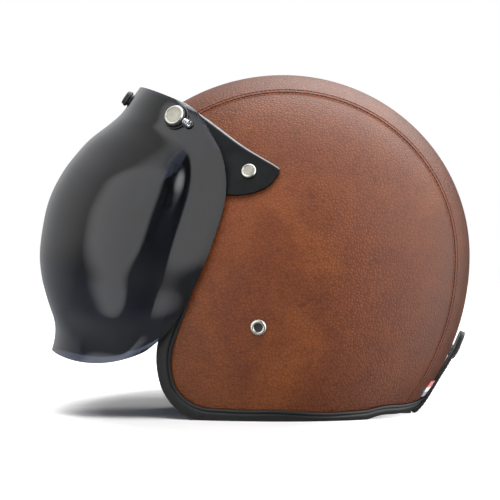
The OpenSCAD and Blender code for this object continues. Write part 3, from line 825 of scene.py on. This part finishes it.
def cheek_quilt(r, d):
    """One seam round the middle panel."""
    return 2.4 * groove(np.asarray(r) - 0.66 + 0 * d[..., 0], 0.045)


def neck_quilt(r, d):
    """Short channels side by side across the nape."""
    return (1 - ease(0.8, 0.95, r)) * 1.8 * groove((np.abs(lateral(d)) % 16) - 8, 1.4)


def pad_back(r, d):
    return PAD_IN


crown_edge = closed_line(half_line(
    middle(49), [(-84, 92), (-66, 72), (-52, 44), (-42, 18), (-15, 12), (25, 8), (75, 2)],
    middle(182), 120))
cheek_edge = side_line(
    [(-40, 2), (-52, -10), (-58, -30), (-68, -60), (-70, -78), (-58, -94), (-30, -102), (0, -103),
     (18, -92), (18, -50), (8, -6), (-15, 4)], 200)
neck_edge = closed_line(half_line(
    middle(189), [(110, -12), (72, -16), (40, -28), (30, -62), (36, -94), (60, -98), (84, -97)],
    middle(220), 100))


def pad(name, edge, centre, thick, rings, quilt, mat, node, turn=as_is):
    part = cap(edge, centre, pad_back, crowned(thick, quilt), rings)
    obj = piece(name, turn(part), mat, nodes=[node], sharp=70)
    line, up = skin(edge, PAD_IN + PIPING_UP), normal_at(edge)
    run = unit(np.roll(line, -1, 0) - np.roll(line, 1, 0))
    piping = loft(circles(line, up, np.cross(run, up), PIPING_R, 10), closed=True)
    piece(f"{name}_piping", turn(piping), rubber_inner, sharp=80)


pad("crown_pad_quilted", crown_edge, middle(112), 8.0, 60, crown_quilt, knit, "crown_pad")
for side, turn in SIDES:
    pad(f"cheek_cushion_{side}", cheek_edge, aim((-25, -48)), 17.0, 44, cheek_quilt, suede,
        f"cheek_pad_{side}", turn)
pad("neck_cushion", neck_edge, middle(204), 10.0, 36, neck_quilt, suede, "neck_roll")

# ---------- chin strap and buckle ----------

BEFORE_EAR = -18.8
RIVET = aim((BEFORE_EAR, -50.8))
CHIN_WEB = 24, 2.0  # width and thickness
REAR_WEB = 22, 2.0


def upright(p):
    """Points of the chin straps' plane from [x, z]."""
    return np.stack([p[:, 0], np.full(len(p), EAR_Y + BEFORE_EAR), p[:, 1]], -1)


def strap_line(end):
    """Course of a chin strap: down the foam, round its rim and to its end."""
    beside = [skin(aim((BEFORE_EAR, z - EAR_Z)), 12.0)[[0, 2]] for z in (82, 70, 56, 40, 24)]
    return upright(through(beside + [(88.2, 14), (86.4, 9.6), (83, 7.2), (76, 6.6), (62, 8.6), *end], 10))


FLANK_LOW = np.array([52.0, 14.0])
FLANK = unit(np.array([20.0, 50.0]) - FLANK_LOW)
ARCH = [(36, 32), (28, 41), (20, 49.4), (8, 57.4), (1, 58.9)]
short_line = strap_line([tuple(FLANK_LOW), tuple(FLANK_LOW + FLANK * 5)])
long_line = strap_line([tuple(FLANK_LOW), *ARCH, (-9, 58), (-15.5, 54.9), (-20.5, 49.4)])


def webbing_piece(name, line, side, w, t, mat, slot, body=HELMET, nodes=(), tips=(0, 0)):
    """A strap whose strap attribute gives the metres across and along the webbing."""
    verts, faces = ribbon(line, side, w, t, tips)
    along = np.repeat(arc_length(line), len(verts) // len(line))
    obj = piece(name, (verts, faces), mat, body, nodes, sharp=60)
    mark(obj, "strap", np.stack([verts @ np.array(side, float), along, 0 * along], -1) * MM)


webbing_piece("chin_webbing_left", short_line, (0, 1, 0), *CHIN_WEB, webbing, "webbing",
              nodes=["chin_strap_left"])
webbing_piece("chin_webbing_right", flip(long_line), (0, 1, 0), *CHIN_WEB, webbing, "webbing",
              nodes=["chin_strap_right"], tips=(0, 8))


def chin_sleeve():
    """Padded sleeve on the arch of the long strap, drawn in a little at its four sewn channels."""
    line = flip(upright(through(ARCH, 14)))
    share = np.linspace(0, 1, len(line))
    swell = np.sqrt(np.clip(1 - np.abs(2 * share - 1) ** 5, 0, 1))
    thick = 4.2 + 4.6 * swell * (1 - 0.12 * groove((share * 4) % 1 - 0.5, 0.12))
    return ribbon(line, (0, 1, 0), 31.5, thick), line


sleeve_part, sleeve_line = chin_sleeve()
sleeve = piece("chin_sleeve", sleeve_part, suede, nodes=["chin_pad"], sharp=75)
sleeve_up = unit(np.cross(unit(np.gradient(sleeve_line, axis=0)), [0, 1, 0]))
hems = []
for off in (-13.8, 13.8):
    for face in (1, -1):
        edge = sleeve_line + [0, off, 0] + sleeve_up * 4.1 * face
        hems.append(thread(edge, sleeve_up * face, 3.2, 2.3, 0.3))
piece("chin_sleeve_thread", joined(hems), thread_grey)

# ---------- rivets and snaps ----------

BASE_SNAP_R = 5.5
SHIELD_SNAP_R = 7.4
FRONT_SNAP_R = 5.4
ON_SHIELD = 3.8  # height of the shield's snap caps over its face


def snap_parts(r, low, places):
    """Rolled rim and cast face of a snap cap of radius r, at a height over each place."""
    rim = lathe([(0, 0), (r - 0.05, 0), (r, 0.4), (r - 0.08, 0.95), (r - 0.4, 1.45), (r - 0.85, 1.72),
                 (r - 1.3, 1.68), (r - 1.6, 1.4), (r - 1.65, 1.1), (0, 1.1)])
    face = lathe([(0, 0.9), (r - 1.6, 0.9), (r - 1.62, 1.25), (r - 2.0, 1.42), (r * 0.4, 1.56), (0, 1.6)])
    return [at_each((verts + [0, 0, low], faces), places) for verts, faces in (rim, face)]


def nickel_snaps(where, r, low, places, body=HELMET):
    rims, faces = snap_parts(r, low, places)
    piece(f"{where}_snap_rims", rims, nickel, body, [f"{where}_snap_caps"], sharp=60)
    piece(f"{where}_snap_faces", faces, nickel_face, body, sharp=60)


def on_skin(s, inset=0.0):
    return stand(skin(s, inset), normal_at(s))


snap_side = aim((-24.8, 57.6))
base_snaps = [on_skin(s, -4.7) for s in (snap_side, flip(snap_side), middle(51.5))]
nickel_snaps("base", BASE_SNAP_R, 0.0, base_snaps)

rivet = lathe([(0, 0.3), (5.7, 0.3), (5.85, 0.7), (5.75, 1.25), (5.3, 1.85), (4.6, 2.25), (4.0, 2.3),
               (3.5, 2.05), (3.15, 1.5), (3.0, 0.9), (2.95, 0.5), (0, 0.5)])
shank = lathe([(0, -11), (2.2, -11), (2.4, -10.6), (2.4, 0.4), (0, 0.4)], 32)
rivet_places = [on_skin(s) for s in (RIVET, flip(RIVET))]
heads = joined([at_each(rivet, rivet_places), at_each(shank, rivet_places)])
piece("strap_rivet_heads", heads, nickel, nodes=["strap_rivets"], sharp=60)
# Painted shade: a black disc in each rivet's hollow stands for the dark inside of the hole.
hole_shade_disc = lathe([(0, 0.4), (2.95, 0.4), (2.95, 0.75), (2.3, 0.62), (0, 0.6)], 40)
piece("strap_rivet_hole_shade", at_each(hole_shade_disc, rivet_places), hard_black, sharp=60)

# ---------- visor base ----------

base_top = spline([flip(aim((-61.9, 102.2))), middle(55.4), aim((-61.9, 102.2)), aim((-32, 78.8)),
                   aim((-4, 60.8)), aim((4, 54))])
brow_line = inside(LIP_FACE + 2)[: AROUND // 5 + 1 : 8]
base_low = spline([flip(brow_line[1]), *brow_line, aim((-51, 47)), aim((-38.4, 41.9)), aim((-23, 43)),
                   aim((-11, 48.5)), aim((-3.6, 57.8)), aim((-2, 62))])
BASE_CHAMFER = 2.4


def base_band():
    """Band between its two outlines, chamfered along the upper edge, and each vertex's share of the painted
    highlight on that edge.
    """
    n = 110
    top, low = even(base_top, n), even(base_low, n)
    top = np.vstack([flip(top[:0:-1]), top])
    low = np.vstack([flip(low[:0:-1]), low])
    share = np.concatenate([[0, 0.01, 0.02, 0.03, 0.045, 0.06, 0.08], np.linspace(0.1, 1, 22)])
    s = unit(mix(top[:, None], low[:, None], share[None, :, None]))
    far = np.linalg.norm(skin(s) - skin(s[:, :1]), axis=-1)
    chamfer = 1 - np.clip(far / BASE_CHAMFER, 0, 1)
    # Share of the painted highlight, full near the upper edge and fading out down the chamfer.
    painted_edge_highlight = ease(0.1, 0.6, chamfer)
    return slab(skin(s, -1.2), skin(s, 2.0 * chamfer - 4.4)), np.vstack([0 * painted_edge_highlight, painted_edge_highlight]).ravel()


band, painted_edge_highlight_share = base_band()
band = piece("visor_base_band", band, base_black, nodes=["visor_base"], sharp=50)
# Stores each vertex's share of the painted highlight for the band's material.
mark(band, "painted_edge_highlight", painted_edge_highlight_share)

HINGE = (-48.0, 214.6)
HINGE_X = 75.3
boss = lathe([(0, 0), (4.1, 0), (4.5, 0.4), (4.5, 3.1), (4.1, 3.5), (0, 3.5)], 48)
hinges = [stand((x * (HINGE_X - 3.8), *HINGE), (x, 0, 0)) for x in (1, -1)]
piece("hinge_bosses", at_each(boss, hinges), base_black, sharp=50)

# ---------- shield ----------

front_line = even(spline(
    [(-101, 253), (-107.3, 243.8), (-114, 234.5), (-120.5, 225), (-129, 217.2), (-144.8, 205),
     (-156, 192.8), (-165, 180.8), (-173.4, 165), (-178.6, 148), (-182.3, 122), (-181, 103),
     (-176.8, 86), (-171.6, 70), (-171, 59), (-173.4, 48), (-177, 38)]), 400)
side_border = even(spline(
    [(78, -79, 232), (88, -70.2, 227), (97, -60.8, 219.1), (104, -53, 206), (109.5, -45.2, 191),
     (112.5, -41.8, 174), (114, -42.5, 157), (115, -48, 136.5), (114.5, -57, 112), (108.5, -67, 90),
     (104.5, -75.5, 74), (98.5, -86, 61.3), (92, -100.7, 49), (84, -116, 43)]), 400)
cheek_bulge = spline([(-0.2, -0.02), (0, 0), (0.3, 0.035), (0.5, 0.09), (0.66, 0.12), (0.74, 0.112),
                      (0.8, 0.075), (0.85, 0.015), (0.88, 0), (1, 0), (1.1, 0)])
SWEEP = math.radians(84)


def along_line(points, v):
    return read_off(np.clip(v, 0, 1) * (len(points) - 1), np.arange(len(points)), points)


def shield_out(u, v):
    """Point of the shield's outside: u across from -1 to 1, v down from 0 to 1."""
    u, v = np.broadcast_arrays(np.asarray(u, float), np.asarray(v, float))
    f, r = along_line(front_line, v), along_line(side_border, v)
    g = (1 - np.cos(u * SWEEP)) / (1 - math.cos(SWEEP))
    swell = np.interp(np.abs(u), cheek_bulge[:, 0], cheek_bulge[:, 1])
    swell = swell * ease(0.16, 0.4, v) * ease(0, 0.16, 1 - v)
    dip = -8 * g * (1 - g) * v**8 * 4
    return np.stack([
        r[..., 0] * (np.sin(u * SWEEP) / math.sin(SWEEP) + np.sign(u) * swell),
        EAR_Y + mix(f[..., 0], r[..., 1], g),
        mix(f[..., 1], r[..., 2], g) + dip], -1)


def shield_normal(u, v, d=0.02):
    down = shield_out(u, np.minimum(v + d, 1)) - shield_out(u, np.maximum(v - d, 0))
    across = shield_out(u + d, v) - shield_out(u - d, v)
    return unit(np.cross(down, across))


def shield_patch(us, vs, outer, inner):
    """Sheet that follows the shield between two depths."""
    u, v = np.meshgrid(us, vs)
    face, up = shield_out(u, v), shield_normal(u, v)
    return slab(face - up * outer, face - up * inner)


piece("bubble_shield", shield_patch(np.linspace(-1, 1, 181), np.linspace(0, 1, 141), 0, 2.5), smoke,
      VISOR, ["shield"], bevel=0.5, sharp=50)
piece("flip_carrier", shield_patch(np.linspace(-0.78, 0.78, 111), np.linspace(0.012, 0.1, 11), 3.4, 6.4),
      base_black, VISOR, ["flip_frame"], bevel=0.6, sharp=50)

ARM_LOW_R, ARM_HIGH_R = 5.2, 3.4


def flip_arm():
    """Flat arm from the carrier down to the hinge pin, round at both ends."""
    low, high = np.array(HINGE), np.array(HINGE) + [-15.5, 4.5]
    away = high - low
    lean = math.atan2(away[1], away[0])
    tilt = math.acos((ARM_LOW_R - ARM_HIGH_R) / np.linalg.norm(away))
    outline = np.vstack([arc(low, ARM_LOW_R, lean + tilt, lean + 2 * math.pi - tilt, 40),
                         arc(high, ARM_HIGH_R, lean - tilt, lean + tilt, 24)])
    return loft([np.column_stack([np.full(len(outline), x), outline]) for x in (HINGE_X, HINGE_X + 3)])


piece("flip_arms", joined([flip_arm(), mirrored(flip_arm())]), base_black, VISOR,
      bevel=0.5, sharp=50)

# The front snap and one at each side, across and down the shield
shield_snaps = [stand(shield_out(u, v), shield_normal(u, v))
                for u, v in ((0.0, 0.052), (0.802, 0.106), (-0.802, 0.106))]
side_snaps = shield_snaps[1:]
nickel_snaps("shield", SHIELD_SNAP_R, ON_SHIELD, side_snaps, VISOR)
front_cap = joined(snap_parts(FRONT_SNAP_R, ON_SHIELD, shield_snaps[:1]))
piece("front_snap_cap", front_cap, hard_black, VISOR, sharp=60)


def collar(r):
    return lathe([(0, -3.2), (4.4, -3.2), (4.7, -2.9), (4.7, 1.5), (r - 0.5, 1.5), (r - 0.1, 1.8), (r, 2.6),
                  (r - 0.1, 3.4), (r - 0.5, 3.7), (0, 3.7)])


collars = [placed(collar(r), p) for r, p in zip((6.0, 8.0, 8.0), shield_snaps)]
piece("shield_snap_collars", joined(collars), hard_black, VISOR,
      ["shield_snap_bodies"], sharp=50)

SLANT = math.radians(-27)
BAR_R, EYE_R = 3.3, 9.4
UNDER_BAR = 75.0  # radius of the shield's curve under the slot bars


def bar_outline(r, ring, n=15):
    """A bar from -8 to 12 with a round eye in its middle."""
    bend = math.asin(r / ring)
    right = arc((12, 0), r, -np.pi / 2, np.pi / 2, n)
    left = arc((-8, 0), r, np.pi / 2, np.pi * 3 / 2, n)
    upper = arc((0, 0), ring, bend, np.pi - bend, n)
    return np.vstack([right, upper, left, -upper])


def on_shield(part, place):
    """Turns a part by the slant and bends it over the shield's curve."""
    (verts, faces), (axes, p) = part, place
    turn = math.copysign(SLANT, -p[0])
    c, d = math.cos(turn), math.sin(turn)
    turned = verts[:, :2] @ np.array([[c, d], [-d, c]])
    bent = np.column_stack([turned, verts[:, 2] - turned[:, 0] ** 2 / (2 * UNDER_BAR)])
    return bent @ axes + p, faces


def ferrule():
    """Flat bar round the snap's eye, with a raised edge."""
    section = [(0.0, 0.4), (0.0, 1.1), (0.3, 1.5), (0.8, 1.5), (1.1, 1.2)]
    return loft([np.column_stack([bar_outline(BAR_R - d, EYE_R - d), np.full(60, z)]) for d, z in section])


def spring():
    """Three coils of wire that lie along the bar."""
    turns = np.linspace(0, 3, 90)
    a = 2 * np.pi * turns
    return tube(np.column_stack([EYE_R + 1.5 * turns, 1.9 * np.cos(a), 3.0 + 1.9 * np.sin(a)]), 0.5)


for name, part, mat, slot, node in (
        ("slot_rims", ferrule(), hard_black, "buckle_plastic", "slot_ferrules"),
        ("slot_coils", spring(), steel, "steel", "slot_springs")):
    both = joined([on_shield(part, side_snaps[0]), on_shield(mirrored(part), side_snaps[1])])
    piece(name, both, mat, VISOR, [node], sharp=60)

# ---------- rear strap and tag ----------

goggle = spline([(94.2, 0.9), (96.8, 1.6), (99.5, 2.2), (105.4, 8.9), (111.3, 18.2), (117.2, 28.1),
                 (122.3, 36.2), (126.1, 43), (129.8, 50.2), (134.4, 61.4), (136.6, 67)], 16)
goggle_run = unit(np.gradient(goggle, axis=0))
goggle_out = np.stack([goggle_run[:, 1], -goggle_run[:, 0]], -1)
# The last stretch is folded double and sewn, so it is thicker
doubled = 1.7 * ease(43.0, 46.0, goggle[:, 1])
goggle_mid = goggle + goggle_out * doubled[:, None] / 2


def back_line(p):
    return np.stack([np.zeros(len(p)), EAR_Y + p[:, 0], p[:, 1]], -1)


goggle_line = back_line(goggle_mid)
webbing_piece("rear_strap_webbing", goggle_line, (1, 0, 0), REAR_WEB[0], REAR_WEB[1] + doubled, goggle_web,
              "goggle_strap", FLAP, ["rear_strap"], tips=(0, 7))
out3 = np.stack([np.zeros(len(goggle)), goggle_out[:, 0], goggle_out[:, 1]], -1)
surface = goggle_line + out3 * (1.0 + doubled[:, None] / 2)
rows = [thread((surface + [off, 0, 0])[14:-14], out3[14:-14], 3.0, 2.1, 0.28) for off in (-9.2, 9.2)]
across_x = np.linspace(-9, 9, 30)
for z in (49, 58):
    i = int(np.argmin(np.abs(goggle[:, 1] - z)))
    line = np.column_stack([across_x, np.full(30, surface[i, 1]), np.full(30, surface[i, 2])])
    rows.append(thread(line, np.repeat(out3[i : i + 1], 30, 0), 3.0, 2.1, 0.28))
piece("rear_strap_thread", joined(rows), thread_grey, FLAP)

anchor = spline([(97, 1.4), (95.6, 1.3), (88, 1.2), (79.5, 2.5), (75.5, 8), (73.5, 16), (72, 24)], 10)
webbing_piece("rear_strap_end", back_line(anchor), (1, 0, 0), *REAR_WEB, goggle_web, "goggle_strap",
              nodes=["rear_strap_anchor"])
hem = even([(-11, EAR_Y + 97.5, 2.2), (11, EAR_Y + 97.5, 2.2)], 23)
piece("rear_strap_hem", tube(hem, 1.5, 16), hard_black, FLAP, sharp=70)

snap_run = unit([0, 129.8 - 122.3, 50.2 - 36.2])
snap_out = np.array([0, snap_run[2], -snap_run[1]])
back_snap = stand(np.array([0, EAR_Y + 127.8, 46.4]) + snap_out * 2.3, snap_out)
button = lathe([(0, -1.4), (5.2, -1.4), (5.5, -0.9), (5.5, 0.1), (5.1, 0.6), (4.4, 0.9), (2.0, 1.05),
                (0, 1.1)])
piece("rear_snap_button", placed(button, back_snap), hard_black, FLAP, ["rear_snap_cap"],
      sharp=60)

TAG_X = 13, 31
TAG_Z = 14.3, 25.2
TAG_HEM = 9  # from the tag's middle


def tag_dir(x, z):
    """Direction of the nape's outside point at this x and z."""
    sz = (z - EAR_Z) / NAPE_DROP
    h = np.sqrt(1 - sz * sz)
    sx = x * h / (HALF_W * np.sqrt(1 - ((z - EAR_Z) / SIDE_DROP) ** 2))
    return np.stack([sx, np.sqrt(h * h - sx * sx), sz], -1)


def rear_tag():
    """Small cloth tag with hemmed ends, and each vertex's share of its width and height."""
    x, z = np.meshgrid(np.linspace(*TAG_X, 33), np.linspace(*TAG_Z, 25))
    s = tag_dir(x, z)
    lift = 0.25 * groove(np.abs(x - np.mean(TAG_X)) - TAG_HEM, 0.8)
    verts, faces = slab(skin(s, -1.25 + lift), skin(s, -0.3))
    share = np.stack([(x - x.min()) / np.ptp(x), (z - z.min()) / np.ptp(z), 0 * x], -1).reshape(-1, 3)
    return (verts, faces), np.vstack([share, share])


tag, tag_share = rear_tag()
tag = piece("rear_cloth_tag", tag, tag_cloth, nodes=["rear_tag"], sharp=70)
mark(tag, "strap", tag_share)

# ---------- finishes of the CAD's own pieces ----------

finishes = {
    "outer_shell": shell_black, "base_snap_studs": steel, "hinge_pins": steel, "rear_snap_stud": steel,
    "buckle_housing": hard_black, "buckle_tongue": hard_black, "buckle_lever": lever_red}
for node_name, mat in finishes.items():
    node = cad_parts[node_name]
    for material_slot in node.material_slots:
        material_slot.material = mat
    if not node.material_slots:
        node.data.materials.append(mat)
for node_name, width in (("buckle_housing", 0.5), ("buckle_lever", 0.5), ("buckle_tongue", 0.25)):
    round_edges(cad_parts[node_name], width, 2, 40)

# ---------- studio ----------


def floor_finish():
    """Pale floor that glows evenly outside an oval round the helmet, where its shadow fades out: the glow
    is painted light, which fades in across the oval's edge and so trims and lightens the shadow.
    """
    f = Finish("pale_floor", srgb(214, 214, 214), 0.7, Specular_IOR_Level=0.2)
    f.colour(f.ramp(f.noise(1.2, 3), [(0.3, srgb(212, 212, 213)), (0.7, srgb(216, 216, 216))]))
    values = {0: f.place, 1: (0.35, 1, 1), 2: (0.0175, 0.03, 0)}
    oval = f.node("VectorMath", {"operation": "MULTIPLY_ADD"}, values).outputs["Vector"]
    away = f.node("VectorMath", {"operation": "LENGTH"}, {0: oval}).outputs["Value"]
    # Painted light: the floor's emission, none inside the oval and full outside it.
    glow = f.ramp(away, [(0.085, 0.0), (0.1, 0.1), (0.118, 0.45), (0.14, 0.9), (0.16, 1.0)])
    f.set(f.shader, {"Emission Color": (1, 1, 1, 1), "Emission Strength": glow})
    return f.mat


bpy.ops.mesh.primitive_circle_add(vertices=96, radius=7.0, fill_type="NGON", location=(0, 0, 0))
floor = bpy.context.object
floor.name = "floor"
floor.data.materials.append(floor_finish())
floor.visible_glossy = False


def area_light(name, place, size, power, aim_at=0.12):
    """Soft lamp aimed at a height over the origin. It doesn't show in reflections: the world's sides do."""
    data = bpy.data.lights.new(name, "AREA")
    data.shape = "RECTANGLE"
    data.size, data.size_y = size
    data.energy = power
    obj = bpy.data.objects.new(name, data)
    bpy.context.scene.collection.objects.link(obj)
    away = np.array([0, 0, aim_at]) - place
    obj.location = place
    level = math.hypot(away[0], away[1])
    obj.rotation_euler = (math.atan2(level, -away[2]), 0, math.atan2(away[1], away[0]) - math.pi / 2)
    obj.visible_glossy = False


area_light("overhead", (0.95, 0.1, 1.4), (1.0, 1.1), 38, aim_at=0.1)
area_light("left_window", (1.1, -1.0, 1.15), (1.0, 1.1), 7)
area_light("right_fill", (1.2, 1.0, 1.05), (1.0, 1.0), 10)
area_light("far_side", (-1.3, 0.5, 1.1), (1.2, 1.2), 6)
area_light("low_front", (1.9, 0.0, 0.35), (0.9, 0.5), 2.5)

DIM = 0.1
# Soft bright sides of a dim room: direction, the cosines where each begins and is full, and its strength
BRIGHT_SIDES = [
    ((0.6, -0.75, 0.3), 0.6, 0.82, 1.6),
    ((-0.4, -0.4, 0.85), 0.2, 0.75, 0.6),
    ((0, 1, 0.15), 0.66, 0.8, 2.2),
    ((0.4, 0.85, 0.3), 0.84, 0.98, 5.0),
    ((-0.35, 0.35, 0.87), 0.68, 0.93, 4.5),
    ((0, -0.3, -0.95), 0.1, 0.9, 0.4),
]


def studio_world():
    """White behind the object, and reflections of the bright sides. The lamps alone light it."""
    world = bpy.data.worlds.new("studio")
    bpy.context.scene.world = world
    t = Tree(world)
    place = t.node("TexCoord").outputs["Generated"]
    bright = t.node("LightPath").outputs["Is Camera Ray"]
    for direction, low, high, most in BRIGHT_SIDES:
        toward = t.node("VectorMath", {"operation": "DOT_PRODUCT"}, {0: place, 1: unit(direction)})
        values = {"Value": toward.outputs["Value"], "From Min": low, "From Max": high,
                  "To Min": DIM, "To Max": most}
        side = t.node("MapRange", {"interpolation_type": "SMOOTHSTEP"}, values)
        bright = t.math("MAXIMUM", bright, side.outputs[0])
    t.set(t.tree.nodes["Background"], {"Strength": bright, "Color": (1, 1, 1, 1)})
    world.cycles_visibility.diffuse = False


studio_world()

camera_data = bpy.data.cameras.new("camera")
camera_data.lens = 182
camera_data.sensor_width = 36
camera = bpy.data.objects.new("camera", camera_data)
camera.location = (1.9, -0.00375, 0.12225)
camera.rotation_euler = (math.pi / 2, 0, math.pi / 2)
bpy.context.scene.collection.objects.link(camera)
scene = bpy.context.scene
scene.camera = camera
scene.view_settings.view_transform = "Standard"
